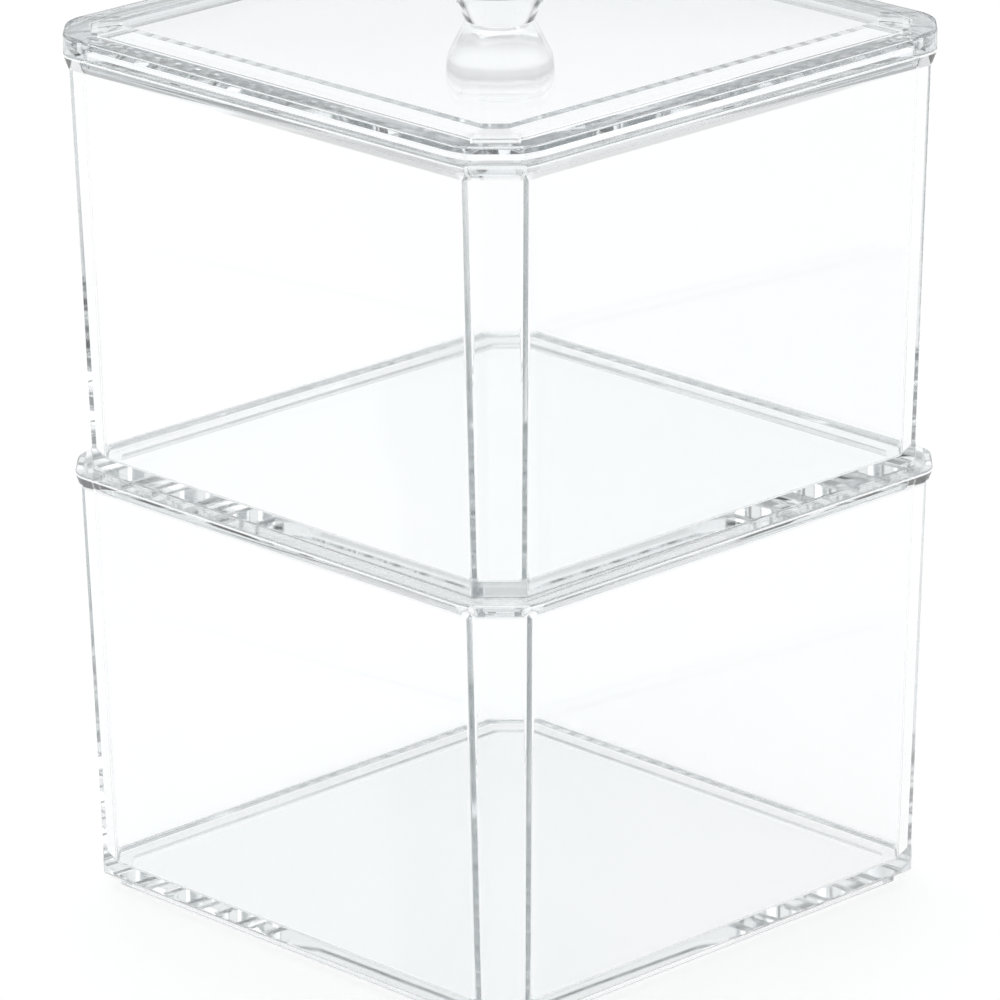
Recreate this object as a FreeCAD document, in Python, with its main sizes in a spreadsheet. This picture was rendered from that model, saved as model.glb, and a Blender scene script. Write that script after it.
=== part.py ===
import FreeCAD, Part
import math
import os
import Sketcher
from FreeCAD import Placement, Rotation, Vector

# Clear stacking box set: two equal open boxes, one stacked on the other, and a
# lid with a flared knob. Square in plan with chamfered vertical corners.
# Millimetres. +Z up, origin at the middle of the footprint on the table.

os.makedirs("parts", exist_ok=True)
doc = FreeCAD.newDocument("StackingBox")

# ---------------------------------------------------------------- dimensions
sheet = doc.addObject("Spreadsheet::Sheet", "Dims")
CELLS = [
    # outer outline: "half" is half the width across the flats
    ("rim_half", 50.0),        # outside of the rim, and of the lid
    ("rim_leg", 7.0),          # leg of the corner chamfer of rim and lid, where the half width is rim_half
    ("wall_leg", 7.35),        # the same for the outside of the walls, carried out to rim_half
    ("inner_leg", 7.6),        # the same for inside, foot, lip and raised middle
    ("leg_drop", 0.585786),    # what the chamfer leg loses per mm of inward offset
    # box
    ("box_height", 68.5),
    ("rim_band", 2.35),        # rim slope and upright together
    ("rim_upright", 0.45),
    ("wall_top_half", 49.25),  # wall outside, just under the rim
    ("base_half", 47.45),      # wall outside, at the bottom
    ("mouth_half", 46.3),      # inside of the wall, at the top
    ("floor_half", 44.5),      # inside of the wall, at the floor
    ("floor_top", 4.1),
    ("foot_height", 2.2),      # ring under the base, nests in the mouth of the box below
    ("foot_half", 45.3),
    ("foot_toe_half", 45.1),
    ("recess_half", 42.2),     # shallow recess inside the foot ring
    ("recess_deep", 1.0),
    ("stack_gap", 0.06),       # air between two stacked faces
    # edge radii
    ("wall_edge", 0.6),        # vertical edges outside
    ("rim_corner", 5.5),       # the rim is rounder at its corners
    ("lid_corner", 7.0),       # and the lid rounder still
    ("inner_edge", 0.6),       # vertical edges inside
    ("floor_edge", 0.55),      # round the floor, inside
    ("foot_edge", 0.9),        # vertical edges of foot and raised middle
    ("rim_edge", 0.35),        # outer top edge of the rim
    ("mouth_edge", 0.35),
    ("base_edge", 0.45),       # outer bottom edge of the walls
    ("toe_edge", 0.4),         # bottom edge of the foot ring
    # lid
    ("lid_edge", 2.75),        # upright edge
    ("lid_rise", 1.1),         # rise of the bevelled border
    ("plateau_half", 42.0),
    ("lid_top_round", 0.4),
    ("lid_low_round", 0.2),
    ("plateau_round", 0.8),
    ("lip_half", 46.1),        # locating lip, outside
    ("lip_inner", 44.95),
    ("lip_deep", 1.6),
    ("lip_round", 0.35),
    ("hollow_rise", 0.69),     # the hollow inside the lip, above the lid's lower face
    ("well_half", 41.4),       # underside of the raised middle: the border slopes below as above
    ("well_deep", 1.1),
    # knob
    ("socket_radius", 3.05),
    ("socket_deep", 1.5),
    ("spigot_radius", 3.0),
    ("spigot_long", 1.4),
    ("knob_gap", 0.05),
    ("knob_foot", 5.25),       # radius where it meets the lid
    ("knob_flare", 7.75),      # radius where the cone meets the bulge, at both its ends
    ("flare_high", 5.0),
    ("bulge_high", 10.4),
    ("bulge_radius", 7.54),
    ("crown_half", 6.2),       # where the shoulder meets the low dome
    ("crown_high", 11.85),
    ("shoulder_radius", 2.425),
    ("knob_tall", 12.3),
]
for row, (alias, value) in enumerate(CELLS, start=1):
    sheet.set("A%d" % row, alias)
    sheet.set("B%d" % row, str(value))
    sheet.setAlias("B%d" % row, alias)
doc.recompute()
V = {alias: value for alias, value in CELLS}


def cell(name):
    return "Dims." + name


# ---------------------------------------------------------------- helpers
def origin_plane(body, role):
    for f in body.Origin.OriginFeatures:
        if f.Role == role:
            return f
    raise RuntimeError("no plane " + role)


def octagon(body, name, half, height, radius=None, corner="inner_leg"):
    """A square with chamfered corners at a height, bound to the sheet. half,
    height and radius are expressions without the leading =. With a radius, its
    eight corners are rounded."""
    h_val = evaluate(half)
    leg = "(%s - %s * (%s - (%s)))" % (cell(corner), cell("leg_drop"), cell("rim_half"), half)
    c_val = evaluate(leg)
    sk = body.newObject("Sketcher::SketchObject", name)
    sk.AttachmentSupport = [(origin_plane(body, "XY_Plane"), "")]
    sk.MapMode = "FlatFace"
    sk.AttachmentOffset = Placement(Vector(0, 0, evaluate(height)), Rotation())
    sk.setExpression(".AttachmentOffset.Base.z", height)
    a, b = h_val, h_val - c_val
    pts = [(a, -b), (a, b), (b, a), (-b, a), (-a, b), (-a, -b), (-b, -a), (b, -a)]
    n = len(pts)
    if radius is not None:
        return rounded_octagon(sk, pts, half, leg, radius)
    kinds = [("F", "S"), ("F", "S"), ("S", "F"), ("S", "F"), ("F", "S"), ("F", "S"), ("S", "F"), ("S", "F")]
    for i in range(n):
        p, q = pts[i], pts[(i + 1) % n]
        sk.addGeometry(Part.LineSegment(Vector(p[0], p[1], 0), Vector(q[0], q[1], 0)), False)
    for i in range(n):
        sk.addConstraint(Sketcher.Constraint("Coincident", i, 2, (i + 1) % n, 1))
    exprs = {"F": half, "S": "(%s) - %s" % (half, leg)}
    for i, (p, k) in enumerate(zip(pts, kinds)):
        for axis, value, kind in (("X", p[0], k[0]), ("Y", p[1], k[1])):
            if value > 0:
                c = Sketcher.Constraint("Distance" + axis, -1, 1, i, 1, value)
            else:
                c = Sketcher.Constraint("Distance" + axis, i, 1, -1, 1, -value)
            idx = sk.addConstraint(c)
            cname = "v%d%s" % (i, axis.lower())
            sk.renameConstraint(idx, cname)
            sk.setExpression("Constraints." + cname, exprs[kind])
    return sk


def rounded_octagon(sk, pts, half, leg, radius):
    """Eight sides joined by eight tangent arcs. Sides 0, 2, 4, 6 are the flats,
    the others the chamfers."""
    r = evaluate(radius)
    h_val, c_val = evaluate(half), evaluate(leg)
    n = len(pts)
    trim = r * math.tan(math.radians(22.5))
    turns = [90.0, 135.0, 180.0, 225.0, 270.0, 315.0, 0.0, 45.0]
    for i in range(n):
        p, q = Vector(*pts[i], 0), Vector(*pts[(i + 1) % n], 0)
        d = (q - p).normalize()
        sk.addGeometry(Part.LineSegment(p + d * trim, q - d * trim), False)
    for i in range(n):
        q = Vector(*pts[(i + 1) % n], 0)
        t = math.radians(turns[i])
        # centre: back along side i from the corner, then inward by the radius
        mid = q - Vector(math.cos(t), math.sin(t), 0) * trim + Vector(-math.sin(t), math.cos(t), 0) * r
        a0 = math.radians(turns[i] - 90.0)
        sk.addGeometry(Part.ArcOfCircle(Part.Circle(mid, Vector(0, 0, 1), r), a0, a0 + math.radians(45.0)), False)
    for i in range(n):
        sk.addConstraint(Sketcher.Constraint("Tangent", i, 2, n + i, 1))
        sk.addConstraint(Sketcher.Constraint("Tangent", n + i, 2, (i + 1) % n, 1))
    for i in range(n):
        if i % 2:
            angle = turns[i] if turns[i] <= 180.0 else turns[i] - 360.0
            sk.addConstraint(Sketcher.Constraint("Angle", i, math.radians(angle)))
            idx = sk.addConstraint(Sketcher.Constraint("Distance", -1, 1, i, (2 * h_val - c_val) / math.sqrt(2)))
            sk.renameConstraint(idx, "chamfer%d" % i)
            sk.setExpression("Constraints.chamfer%d" % i, "(2 * (%s) - %s) * 0.70710678" % (half, leg))
        else:
            sk.addConstraint(Sketcher.Constraint("Vertical" if i % 4 == 0 else "Horizontal", i))
            idx = sk.addConstraint(Sketcher.Constraint("Distance", -1, 1, i, h_val))
            sk.renameConstraint(idx, "flat%d" % i)
            sk.setExpression("Constraints.flat%d" % i, half)
        idx = sk.addConstraint(Sketcher.Constraint("Radius", n + i, r))
        sk.renameConstraint(idx, "round%d" % i)
        sk.setExpression("Constraints.round%d" % i, radius)
    return sk


def evaluate(expr):
    """The value of a sheet expression, for first positions only."""
    for alias in sorted(V, key=len, reverse=True):
        expr = expr.replace("Dims." + alias, repr(float(V[alias])))
    return _calc(expr)


def _calc(text):
    """Plain arithmetic: + - * and brackets."""
    tokens, i = [], 0
    while i < len(text):
        ch = text[i]
        if ch in " ":
            i += 1
        elif ch in "+-*()":
            tokens.append(ch)
            i += 1
        else:
            j = i
            while j < len(text) and (text[j].isdigit() or text[j] == "."):
                j += 1
            tokens.append(float(text[i:j]))
            i = j

    def atom(k):
        if tokens[k] == "(":
            v, k = total(k + 1)
            return v, k + 1
        if tokens[k] == "-":
            v, k = atom(k + 1)
            return -v, k
        return tokens[k], k + 1

    def product(k):
        v, k = atom(k)
        while k < len(tokens) and tokens[k] == "*":
            w, k = atom(k + 1)
            v *= w
        return v, k

    def total(k):
        v, k = product(k)
        while k < len(tokens) and tokens[k] in ("+", "-"):
            sign = 1 if tokens[k] == "+" else -1
            w, k = product(k + 1)
            v += sign * w
        return v, k

    return total(0)[0]


def pad(body, name, sketch, length, reverse=False):
    f = body.newObject("PartDesign::Pad", name)
    f.Profile = sketch
    f.Length = evaluate(length)
    f.setExpression("Length", length)
    f.Reversed = reverse
    sketch.Visibility = False
    return f


def pocket(body, name, sketch, length, reverse=False):
    doc.recompute()
    before = body.Shape.Volume
    f = body.newObject("PartDesign::Pocket", name)
    f.Profile = sketch
    f.Length = evaluate(length)
    f.setExpression("Length", length)
    f.Reversed = reverse
    doc.recompute()
    assert body.Shape.Volume < before - 1.0, name + " cut nothing"
    return f


def loft(body, name, low, high, cut=False):
    doc.recompute()
    before = body.Shape.Volume if cut else 0.0
    f = body.newObject("PartDesign::SubtractiveLoft" if cut else "PartDesign::AdditiveLoft", name)
    f.Profile = low
    f.Sections = [high]
    f.Ruled = True
    doc.recompute()
    if cut:
        assert body.Shape.Volume < before - 1.0, name + " cut nothing"
    return f


def fillet(body, name, radius, wanted):
    """Rounds every edge of the tip that wanted(edge) picks."""
    doc.recompute()
    base = body.Tip
    names = ["Edge%d" % (i + 1) for i, e in enumerate(base.Shape.Edges) if wanted(e)]
    assert names, name + " found no edge"
    f = body.newObject("PartDesign::Fillet", name)
    f.Base = (base, names)
    f.Radius = evaluate(radius)
    f.setExpression("Radius", radius)
    doc.recompute()
    assert f.Shape.isValid() and not ({"Invalid", "Error"} & set(f.State)), name + " failed"
    return f


def ends(e):
    p, q = e.Vertexes[0].Point, e.Vertexes[-1].Point
    return p, q


def upright(e, z_low, z_high, inside, limit):
    """An edge that climbs, between two heights, inside or outside a half width."""
    if len(e.Vertexes) < 2:
        return False
    p, q = ends(e)
    if abs(p.z - q.z) < 0.3 or math.hypot(p.x - q.x, p.y - q.y) > 4.0:
        return False
    lo, hi = min(p.z, q.z), max(p.z, q.z)
    reach = max(abs(p.x), abs(p.y), abs(q.x), abs(q.y))
    return lo > z_low - 0.01 and hi < z_high + 0.01 and (reach < limit if inside else reach > limit)


def level(e, z, half_low, half_high):
    """An edge that lies flat at a height, within a range of half widths."""
    if len(e.Vertexes) < 2:
        return False
    p, q = ends(e)
    if abs(p.z - z) > 0.01 or abs(q.z - z) > 0.01:
        return False
    reach = max(max(abs(p.x), abs(p.y)), max(abs(q.x), abs(q.y)))
    return half_low - 0.01 <= reach <= half_high + 0.01


# ---------------------------------------------------------------- boxes
def make_box(label):
    """One open box: drafted walls, a rim that stands proud, a foot ring and a
    shallow recess under the floor."""
    body = doc.addObject("PartDesign::Body", label)
    body.Label = label
    s = label + "_"
    h_top, foot = cell("box_height"), cell("foot_height")
    under_rim = "%s - %s" % (h_top, cell("rim_band"))
    rim_low = "%s - %s" % (h_top, cell("rim_upright"))
    edge, corner = cell("wall_edge"), cell("rim_corner")
    # walls and floor as one drafted block, then the rim on top of it
    base = octagon(body, s + "base_outline", cell("base_half"), foot, edge, "wall_leg")
    wall_top = octagon(body, s + "wall_top_outline", cell("wall_top_half"), under_rim, edge, "wall_leg")
    loft(body, s + "block", base, wall_top)
    slope_low = octagon(body, s + "slope_low", cell("wall_top_half"), under_rim, edge, "wall_leg")
    slope_top = octagon(body, s + "slope_top", cell("rim_half"), rim_low, corner, "rim_leg")
    loft(body, s + "rim_slope", slope_low, slope_top)
    rim = octagon(body, s + "rim_outline", cell("rim_half"), rim_low, corner, "rim_leg")
    pad(body, s + "rim_upright", rim, cell("rim_upright"))
    # foot ring
    toe = octagon(body, s + "toe_outline", cell("foot_toe_half"), "0 * " + foot, cell("foot_edge"))
    ankle = octagon(body, s + "ankle_outline", cell("foot_half"), foot, cell("foot_edge"))
    loft(body, s + "foot", toe, ankle)
    # cavity
    floor = octagon(body, s + "floor_outline", cell("floor_half"), cell("floor_top"))
    mouth = octagon(body, s + "mouth_outline", cell("mouth_half"), h_top)
    loft(body, s + "cavity", floor, mouth, cut=True)
    fillet(body, s + "inner_corners", cell("inner_edge"),
           lambda e: upright(e, V["floor_top"], V["box_height"], True, V["mouth_half"] + 0.1))
    fillet(body, s + "floor_round", cell("floor_edge"),
           lambda e: level(e, V["floor_top"], 0.0, V["floor_half"]))
    # underside recess
    recess = octagon(body, s + "recess_outline", cell("recess_half"), "0 * " + foot)
    pocket(body, s + "recess", recess, cell("recess_deep"), reverse=True)
    # edges
    fillet(body, s + "rim_round", cell("rim_edge"),
           lambda e: level(e, V["box_height"], V["rim_half"] - 3.0, V["rim_half"]) and outer_ring(e, V["rim_half"]))
    fillet(body, s + "mouth_round", cell("mouth_edge"),
           lambda e: level(e, V["box_height"], 0, V["mouth_half"] + 0.05))
    fillet(body, s + "base_round", cell("base_edge"),
           lambda e: level(e, V["foot_height"], V["base_half"] - 8.0, V["base_half"]) and outer_ring(e, V["base_half"]))
    fillet(body, s + "toe_round", cell("toe_edge"),
           lambda e: level(e, 0.0, V["foot_toe_half"] - 8.0, V["foot_toe_half"]) and outer_ring(e, V["foot_toe_half"]))
    doc.recompute()
    return body


def outer_ring(e, half):
    """True if the edge lies on the outline with that half width, its chamfers
    and its rounded corners included."""
    p = e.valueAt((e.FirstParameter + e.LastParameter) / 2)
    x, y = abs(p.x), abs(p.y)
    flat = half - max(x, y)
    for corner in ("rim_leg", "wall_leg", "inner_leg"):
        leg = V[corner] - V["leg_drop"] * (V["rim_half"] - half)
        chamfer = (2 * half - leg - x - y) / math.sqrt(2)
        if min(abs(flat), abs(chamfer)) < 0.35 and flat > -0.05 and chamfer > -0.05:
            return True
    return False


lower = make_box("lower_box")
upper = make_box("upper_box")
upper.setExpression(".Placement.Base.z", "%s - %s + %s" % (cell("box_height"), cell("foot_height"), cell("stack_gap")))
doc.recompute()

# ---------------------------------------------------------------- lid
lid = doc.addObject("PartDesign::Body", "lid")
lid.Label = "lid"
edge_low = octagon(lid, "lid_outline", cell("rim_half"), "0 * " + cell("lid_edge"), cell("lid_corner"), "rim_leg")
pad(lid, "lid_plate", edge_low, cell("lid_edge"))
bevel_low = octagon(lid, "bevel_low", cell("rim_half"), cell("lid_edge"), cell("lid_corner"), "rim_leg")
bevel_top = octagon(lid, "bevel_top", cell("plateau_half"), "%s + %s" % (cell("lid_edge"), cell("lid_rise")), cell("foot_edge"))
loft(lid, "lid_bevel", bevel_low, bevel_top)
lid_top_z = V["lid_edge"] + V["lid_rise"]
lip = octagon(lid, "lip_outline", cell("lip_half"), "0 * " + cell("lid_edge"), cell("inner_edge"))
pad(lid, "lid_lip", lip, cell("lip_deep"), reverse=True)
hollow = octagon(lid, "hollow_outline", cell("lip_inner"), "0 - " + cell("lip_deep"), cell("foot_edge"))
pocket(lid, "lip_hollow", hollow, "%s + %s" % (cell("lip_deep"), cell("hollow_rise")), reverse=True)
well_low = octagon(lid, "well_low", cell("lip_inner"), cell("hollow_rise"), cell("foot_edge"))
well_top = octagon(lid, "well_top", cell("well_half"), cell("well_deep"), cell("foot_edge"))
loft(lid, "lid_well", well_low, well_top, cut=True)
socket = lid.newObject("Sketcher::SketchObject", "socket_outline")
socket.AttachmentSupport = [(origin_plane(lid, "XY_Plane"), "")]
socket.MapMode = "FlatFace"
socket.setExpression(".AttachmentOffset.Base.z", "%s + %s" % (cell("lid_edge"), cell("lid_rise")))
socket.addGeometry(Part.Circle(Vector(0, 0, 0), Vector(0, 0, 1), V["socket_radius"]), False)
socket.addConstraint(Sketcher.Constraint("Coincident", 0, 3, -1, 1))
k = socket.addConstraint(Sketcher.Constraint("Radius", 0, V["socket_radius"]))
socket.renameConstraint(k, "radius")
socket.setExpression("Constraints.radius", cell("socket_radius"))
pocket(lid, "knob_socket", socket, cell("socket_deep"))
fillet(lid, "lid_top_edge", cell("lid_top_round"),
       lambda e: level(e, V["lid_edge"], V["rim_half"] - 8.0, V["rim_half"]) and outer_ring(e, V["rim_half"]))
fillet(lid, "plateau_edge", cell("plateau_round"),
       lambda e: level(e, lid_top_z, V["plateau_half"] - 8.0, V["plateau_half"]) and outer_ring(e, V["plateau_half"]))
fillet(lid, "lid_low_edge", cell("lid_low_round"),
       lambda e: level(e, 0.0, V["rim_half"] - 8.0, V["rim_half"]) and outer_ring(e, V["rim_half"]))
fillet(lid, "lip_edge", cell("lip_round"),
       lambda e: level(e, -V["lip_deep"], 30.0, V["lip_half"]) and outer_ring(e, V["lip_half"]))
lid.setExpression(".Placement.Base.z", "2 * %s - %s + 2 * %s" % (cell("box_height"), cell("foot_height"), cell("stack_gap")))
doc.recompute()

# ---------------------------------------------------------------- knob
knob = doc.addObject("PartDesign::Body", "lid_knob")
knob.Label = "lid_knob"
sk = knob.newObject("Sketcher::SketchObject", "knob_profile")
sk.AttachmentSupport = [(origin_plane(knob, "XZ_Plane"), "")]
sk.MapMode = "FlatFace"
# half section: spigot, foot, cone, bulge, rounded shoulder, low dome
r0, r1, r2, r3 = V["spigot_radius"], V["knob_foot"], V["knob_flare"], V["crown_half"]
zs, z1, z2, z3, tall = -V["spigot_long"], V["flare_high"], V["bulge_high"], V["crown_high"], V["knob_tall"]


def arc_through(start, end, radius):
    """Arc bulging away from the axis and upward between two points of the section."""
    chord = Vector(end[0] - start[0], end[1] - start[1], 0)
    away = Vector(chord.y, -chord.x, 0).normalize()
    sagitta = radius - math.sqrt(radius * radius - chord.Length * chord.Length / 4)
    mid = Vector((start[0] + end[0]) / 2, (start[1] + end[1]) / 2, 0) + away * sagitta
    return Part.Arc(Vector(start[0], start[1], 0), mid, Vector(end[0], end[1], 0))


dome = (r3 * r3 + (tall - z3) ** 2) / (2 * (tall - z3))
path = [(0, zs), (r0, zs), (r0, 0), (r1, 0), (r2, z1), (r2, z2), (r3, z3), (0, tall)]
seg = []
for i, (a, b) in enumerate(zip(path, path[1:] + path[:1])):
    if i == 4:
        seg.append(arc_through(a, b, V["bulge_radius"]))
    elif i == 5:
        seg.append(arc_through(a, b, V["shoulder_radius"]))
    elif i == 6:
        seg.append(arc_through(a, b, dome))
    else:
        seg.append(Part.LineSegment(Vector(a[0], a[1], 0), Vector(b[0], b[1], 0)))
for g in seg:
    sk.addGeometry(g, False)
n = len(seg)
corners = [Vector(a[0], a[1], 0) for a in path]


def end_of(i, which):
    """Sketch vertex index of a segment's first or second end, whichever way an arc runs."""
    target = corners[i] if which == 1 else corners[(i + 1) % n]
    for pos in (1, 2):
        if (sk.getPoint(i, pos) - target).Length < 1e-4:
            return pos
    raise RuntimeError("end not found")


for i in range(n):
    j = (i + 1) % n
    sk.addConstraint(Sketcher.Constraint("Coincident", i, end_of(i, 2), j, end_of(j, 1)))
sk.addConstraint(Sketcher.Constraint("Horizontal", 0))
sk.addConstraint(Sketcher.Constraint("Vertical", 1))
sk.addConstraint(Sketcher.Constraint("Horizontal", 2))
sk.addConstraint(Sketcher.Constraint("Vertical", 7))
sk.addConstraint(Sketcher.Constraint("PointOnObject", 0, end_of(0, 1), -2))
sk.addConstraint(Sketcher.Constraint("PointOnObject", 2, end_of(2, 1), -1))
sk.addConstraint(Sketcher.Constraint("PointOnObject", 6, 3, -2))
names = {
    (1, "X"): "spigot_radius", (3, "X"): "knob_foot", (4, "X"): "knob_flare", (5, "X"): "knob_flare",
    (6, "X"): "crown_half", (0, "Y"): "spigot_long", (4, "Y"): "flare_high", (5, "Y"): "bulge_high",
    (6, "Y"): "crown_high", (7, "Y"): "knob_tall",
}
for (i, axis), alias in names.items():
    pos = end_of(i, 1)
    if alias == "spigot_long":  # below the sketch's origin
        idx = sk.addConstraint(Sketcher.Constraint("DistanceY", i, pos, -1, 1, V[alias]))
    else:
        idx = sk.addConstraint(Sketcher.Constraint("Distance" + axis, -1, 1, i, pos, V[alias]))
    sk.renameConstraint(idx, "d%d%s" % (i, axis.lower()))
    sk.setExpression("Constraints.d%d%s" % (i, axis.lower()), cell(alias))
for i, alias in ((4, "bulge_radius"), (5, "shoulder_radius")):
    idx = sk.addConstraint(Sketcher.Constraint("Radius", i, V[alias]))
    sk.renameConstraint(idx, "r%d" % i)
    sk.setExpression("Constraints.r%d" % i, cell(alias))
rev = knob.newObject("PartDesign::Revolution", "knob_turning")
rev.Profile = sk
rev.ReferenceAxis = (sk, ["V_Axis"])
rev.Angle = 360.0
doc.recompute()
knob.setExpression(".Placement.Base.z",
                   "2 * %s - %s + 2 * %s + %s + %s + %s" % (
                       cell("box_height"), cell("foot_height"), cell("stack_gap"),
                       cell("lid_edge"), cell("lid_rise"), cell("knob_gap")))
doc.recompute()

# ---------------------------------------------------------------- check and write
for obj in doc.Objects:
    bad = {"Invalid", "Error"} & set(obj.State)
    if bad:
        raise RuntimeError("%s: %s" % (obj.Name, sorted(bad)))
pieces = [lower, upper, lid, knob]
for body in pieces:
    shape = body.Shape
    if shape.isNull() or not shape.isValid() or len(shape.Solids) != 1:
        raise RuntimeError("%s is not one valid solid" % body.Label)
for body in pieces:
    shape = body.Shape
    b = shape.optimalBoundingBox(True, False)
    print("%-10s volume %.0f mm3  x %.2f..%.2f  z %.2f..%.2f" % (body.Label, shape.Volume, b.XMin, b.XMax, b.ZMin, b.ZMax))
    shape.exportStep("parts/%s.step" % body.Label)
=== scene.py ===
import math

import bpy
from mathutils import Matrix, Vector

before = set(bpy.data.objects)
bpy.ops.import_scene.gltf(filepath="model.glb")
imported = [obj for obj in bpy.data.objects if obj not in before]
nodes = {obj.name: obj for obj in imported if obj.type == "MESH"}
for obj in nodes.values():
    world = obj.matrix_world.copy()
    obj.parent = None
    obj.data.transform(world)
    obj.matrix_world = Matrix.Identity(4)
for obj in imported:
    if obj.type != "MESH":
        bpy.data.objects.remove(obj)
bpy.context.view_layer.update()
scene = bpy.context.scene


# ------------------------------------------------------------------ materials
def node(nt, kind, x=0, y=0, **values):
    n = nt.nodes.new(kind)
    n.location = (x, y)
    for key, value in values.items():
        n.inputs[key.replace("_", " ")].default_value = value
    return n


def clear_plastic(name, tint, density, absorb, ior, wave, smear_scale, seed, lets_by=0.948):
    """Polished clear plastic. Its colour comes from the depth of plastic that a
    ray passes, with slow moulding waves and a trace of smears on the surface."""
    mat = bpy.data.materials.new(name)
    mat.use_nodes = True
    nt = mat.node_tree
    nt.nodes.clear()
    out = nt.nodes.new("ShaderNodeOutputMaterial")
    out.location = (900, 0)
    glass = nt.nodes.new("ShaderNodeBsdfPrincipled")
    glass.location = (300, 100)
    glass.inputs["Transmission Weight"].default_value = 1.0
    glass.inputs["IOR"].default_value = ior
    glass.inputs["Specular IOR Level"].default_value = 0.5

    where = nt.nodes.new("ShaderNodeTexCoord")
    where.location = (-1200, 0)
    shift = node(nt, "ShaderNodeMapping", -1000, 0, Location=(seed * 0.137, seed * 0.071, seed * 0.053))
    nt.links.new(where.outputs["Object"], shift.inputs["Vector"])

    # faint colour variation of the moulded stock
    cloud = node(nt, "ShaderNodeTexNoise", -780, 420, Scale=14.0, Detail=2.0, Roughness=0.5)
    nt.links.new(shift.outputs["Vector"], cloud.inputs["Vector"])
    ramp = nt.nodes.new("ShaderNodeValToRGB")
    ramp.location = (-540, 420)
    ramp.color_ramp.elements[0].position = 0.3
    ramp.color_ramp.elements[0].color = (tint[0] * 0.988, tint[1] * 0.994, tint[2] * 0.996, 1)
    ramp.color_ramp.elements[1].position = 0.7
    ramp.color_ramp.elements[1].color = (tint[0], tint[1], tint[2], 1)
    nt.links.new(cloud.outputs["Fac"], ramp.inputs["Fac"])
    nt.links.new(ramp.outputs["Color"], glass.inputs["Base Color"])

    # smears and handling marks: a little rough here and there
    smear = node(nt, "ShaderNodeTexNoise", -780, 100, Scale=smear_scale, Detail=5.0, Roughness=0.62, Distortion=0.6)
    nt.links.new(shift.outputs["Vector"], smear.inputs["Vector"])
    rough = nt.nodes.new("ShaderNodeMapRange")
    rough.location = (-540, 100)
    rough.inputs["From Min"].default_value = 0.52
    rough.inputs["From Max"].default_value = 0.8
    rough.inputs["To Min"].default_value = 0.015
    rough.inputs["To Max"].default_value = 0.07
    nt.links.new(smear.outputs["Fac"], rough.inputs["Value"])
    nt.links.new(rough.outputs["Result"], glass.inputs["Roughness"])

    # slow waves left by the mould
    waves = node(nt, "ShaderNodeTexNoise", -780, -220, Scale=26.0, Detail=1.5, Roughness=0.4)
    nt.links.new(shift.outputs["Vector"], waves.inputs["Vector"])
    bump = node(nt, "ShaderNodeBump", -300, -220, Strength=wave, Distance=0.0006)
    nt.links.new(waves.outputs["Fac"], bump.inputs["Height"])
    nt.links.new(bump.outputs["Normal"], glass.inputs["Normal"])

    # lamps shine through, so that the inside is lit as through real plastic
    path = nt.nodes.new("ShaderNodeLightPath")
    path.location = (300, 420)
    through = nt.nodes.new("ShaderNodeBsdfTransparent")
    through.location = (300, -420)
    through.inputs["Color"].default_value = (lets_by * 0.997, lets_by, lets_by * 1.002, 1)
    mix = nt.nodes.new("ShaderNodeMixShader")
    mix.location = (640, 80)
    nt.links.new(path.outputs["Is Shadow Ray"], mix.inputs["Fac"])
    nt.links.new(glass.outputs["BSDF"], mix.inputs[1])
    nt.links.new(through.outputs["BSDF"], mix.inputs[2])
    nt.links.new(mix.outputs["Shader"], out.inputs["Surface"])

    depth = nt.nodes.new("ShaderNodeVolumeAbsorption")
    depth.location = (640, -260)
    depth.inputs["Color"].default_value = (absorb[0], absorb[1], absorb[2], 1)
    depth.inputs["Density"].default_value = density
    nt.links.new(depth.outputs["Volume"], out.inputs["Volume"])
    return mat


ABSORB = (0.42, 0.48, 0.50)
looks = {
    # lower box: lets_by 0.82 passes less lamp light than its plastic would, painting a deeper shadow on the floor
    # beneath and around its base
    "lower_box": clear_plastic("clear_box_lower", (0.990, 0.994, 0.995), 2.5, ABSORB, 1.52, 0.05, 9.0, 1.0, 0.82),
    "upper_box": clear_plastic("clear_box_upper", (0.990, 0.994, 0.995), 2.5, ABSORB, 1.52, 0.05, 9.0, 2.0),
    "lid": clear_plastic("clear_lid_sheet", (0.984, 0.991, 1.0), 4.0, ABSORB, 1.52, 0.05, 11.0, 3.0),
    "lid_knob": clear_plastic("clear_knob_stock", (0.988, 0.994, 0.996), 3.0, ABSORB, 1.52, 0.02, 40.0, 4.0),
}
for name, mat in looks.items():
    me = nodes[name].data
    for i in range(len(me.materials)):
        me.materials[i] = mat

# ------------------------------------------------------------------ stage
floor_mesh = bpy.data.meshes.new("floor")
R = 6.0
floor_mesh.from_pydata([(-R, -R, 0), (R, -R, 0), (R, R, 0), (-R, R, 0)], [], [(0, 1, 2, 3)])
floor = bpy.data.objects.new("floor", floor_mesh)
floor.location.z = -0.0003
scene.collection.objects.link(floor)
fm = bpy.data.materials.new("floor_white")
fm.use_nodes = True
nt = fm.node_tree
nt.nodes.clear()
out = nt.nodes.new("ShaderNodeOutputMaterial")
add = nt.nodes.new("ShaderNodeAddShader")
dif = nt.nodes.new("ShaderNodeBsdfDiffuse")
dif.inputs["Color"].default_value = (0.66, 0.66, 0.66, 1)
emi = nt.nodes.new("ShaderNodeEmission")
emi.inputs["Color"].default_value = (1, 1, 1, 1)
emi.inputs["Strength"].default_value = 0.59
nt.links.new(dif.outputs[0], add.inputs[0])
nt.links.new(emi.outputs[0], add.inputs[1])
nt.links.new(add.outputs[0], out.inputs["Surface"])
floor_mesh.materials.append(fm)

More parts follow.
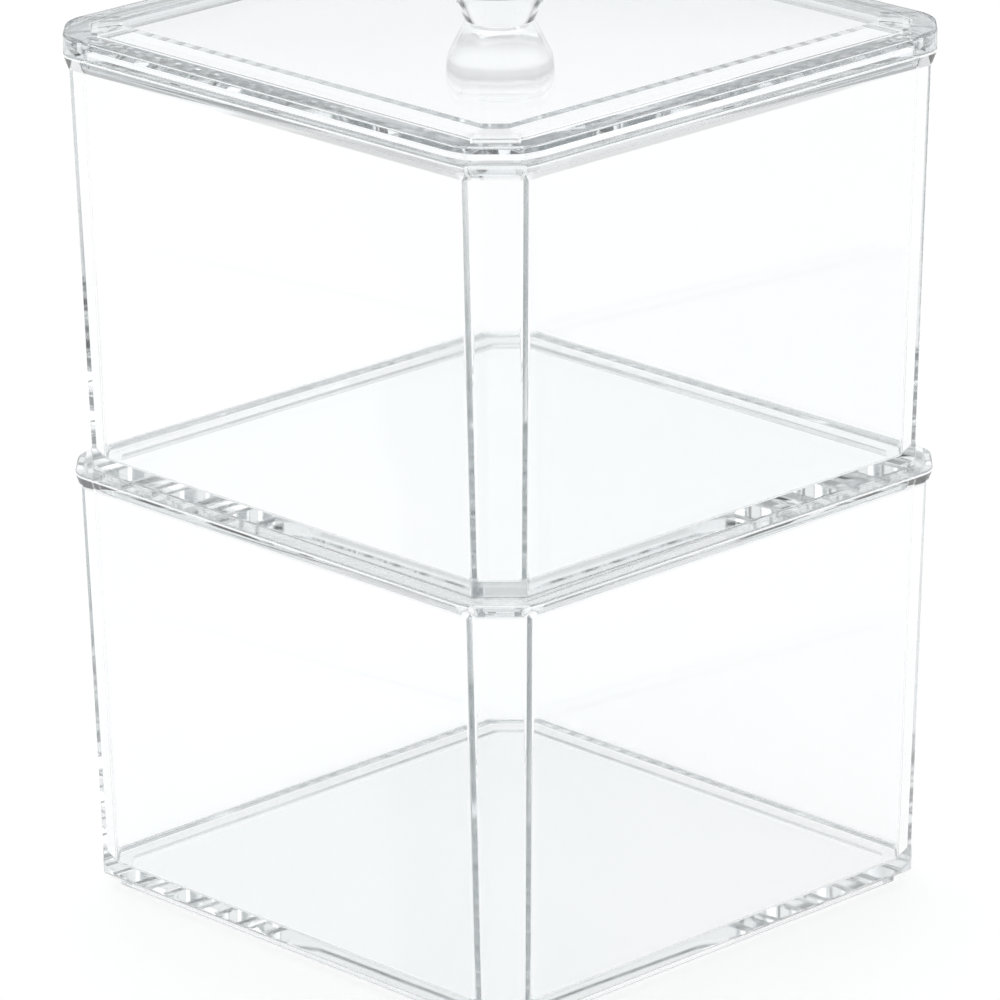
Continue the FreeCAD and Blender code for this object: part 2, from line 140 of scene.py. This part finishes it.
# soft studio: a bright ring around the table, dimmer low down and above it
world = bpy.data.worlds.new("studio")
scene.world = world
world.use_nodes = True
nt = world.node_tree
nt.nodes.clear()
out = nt.nodes.new("ShaderNodeOutputWorld")
bg = nt.nodes.new("ShaderNodeBackground")
coord = nt.nodes.new("ShaderNodeTexCoord")
sep = nt.nodes.new("ShaderNodeSeparateXYZ")
ramp = nt.nodes.new("ShaderNodeValToRGB")
ramp.color_ramp.interpolation = "EASE"
stops = [(0.0, 1.15), (0.10, 0.18), (0.20, 0.14), (0.28, 1.06), (0.47, 1.12), (0.60, 0.20), (1.0, 0.30)]
ramp.color_ramp.elements[0].position = stops[0][0]
ramp.color_ramp.elements[1].position = stops[-1][0]
for place, level in stops[1:-1]:
    ramp.color_ramp.elements.new(place)
for element, (place, level) in zip(ramp.color_ramp.elements, stops):
    element.color = (level * 0.985, level * 0.995, level, 1)
nt.links.new(coord.outputs["Generated"], sep.inputs[0])
nt.links.new(sep.outputs["Z"], ramp.inputs["Fac"])
# dimmer towards the two sides, as with dark flags beside the table
across = nt.nodes.new("ShaderNodeVectorMath")
across.operation = "DOT_PRODUCT"
across.inputs[1].default_value = (0.7071, 0.7071, 0.0)
nt.links.new(coord.outputs["Generated"], across.inputs[0])
depthwise = nt.nodes.new("ShaderNodeMath")
depthwise.operation = "ABSOLUTE"
nt.links.new(across.outputs["Value"], depthwise.inputs[0])
flags = nt.nodes.new("ShaderNodeMapRange")
flags.inputs["From Min"].default_value = 0.25
flags.inputs["From Max"].default_value = 0.75
flags.inputs["To Min"].default_value = 0.42
flags.inputs["To Max"].default_value = 1.0
nt.links.new(depthwise.outputs["Value"], flags.inputs["Value"])
shade = nt.nodes.new("ShaderNodeVectorMath")
shade.operation = "SCALE"
nt.links.new(ramp.outputs["Color"], shade.inputs[0])
nt.links.new(flags.outputs["Result"], shade.inputs["Scale"])
nt.links.new(shade.outputs["Vector"], bg.inputs["Color"])
bg.inputs["Strength"].default_value = 0.9
nt.links.new(bg.outputs[0], out.inputs["Surface"])


def lamp(name, place, target, size, power):
    data = bpy.data.lights.new(name, "AREA")
    data.shape = "RECTANGLE"
    data.size, data.size_y = size
    data.energy = power
    ob = bpy.data.objects.new(name, data)
    ob.location = place
    ob.rotation_euler = (Vector(target) - Vector(place)).to_track_quat("-Z", "Y").to_euler()
    scene.collection.objects.link(ob)
    return ob


lamp("top_soft", (0.1, 0.2, 1.3), (0, 0, 0.05), (1.6, 1.6), 9)
lamp("left_soft", (-1.4, 0.5, 0.7), (0, 0, 0.08), (0.9, 0.9), 3)
lamp("right_soft", (0.9, -1.5, 0.7), (0, 0, 0.08), (0.9, 0.9), 3)

# ------------------------------------------------------------------ camera
yaw, pitch, roll = math.radians(45.0 + 0.784), math.radians(18.97), math.radians(-0.53)
fw = Vector((math.cos(yaw) * math.cos(pitch), math.sin(yaw) * math.cos(pitch), -math.sin(pitch)))
rt = Vector((math.sin(yaw), -math.cos(yaw), 0.0))
up = rt.cross(fw)
r2 = rt * math.cos(roll) + up * math.sin(roll)
u2 = -rt * math.sin(roll) + up * math.cos(roll)
eye = Vector((0, 0, 0.06217)) + rt * -0.000647 - fw * 1.1097
cam_data = bpy.data.cameras.new("camera")
cam_data.lens = 36.0 * 7211.0 / 1000.0
cam_data.sensor_width = 36.0
cam_data.clip_start = 0.01
cam = bpy.data.objects.new("camera", cam_data)
m = Matrix.Identity(4)
for i in range(3):
    m[i][0], m[i][1], m[i][2], m[i][3] = r2[i], u2[i], -fw[i], eye[i]
cam.matrix_world = m
scene.collection.objects.link(cam)
scene.camera = cam

scene.view_settings.view_transform = "Standard"
scene.cycles.max_bounces = 160
scene.cycles.transmission_bounces = 160
scene.cycles.glossy_bounces = 160
scene.cycles.transparent_max_bounces = 32
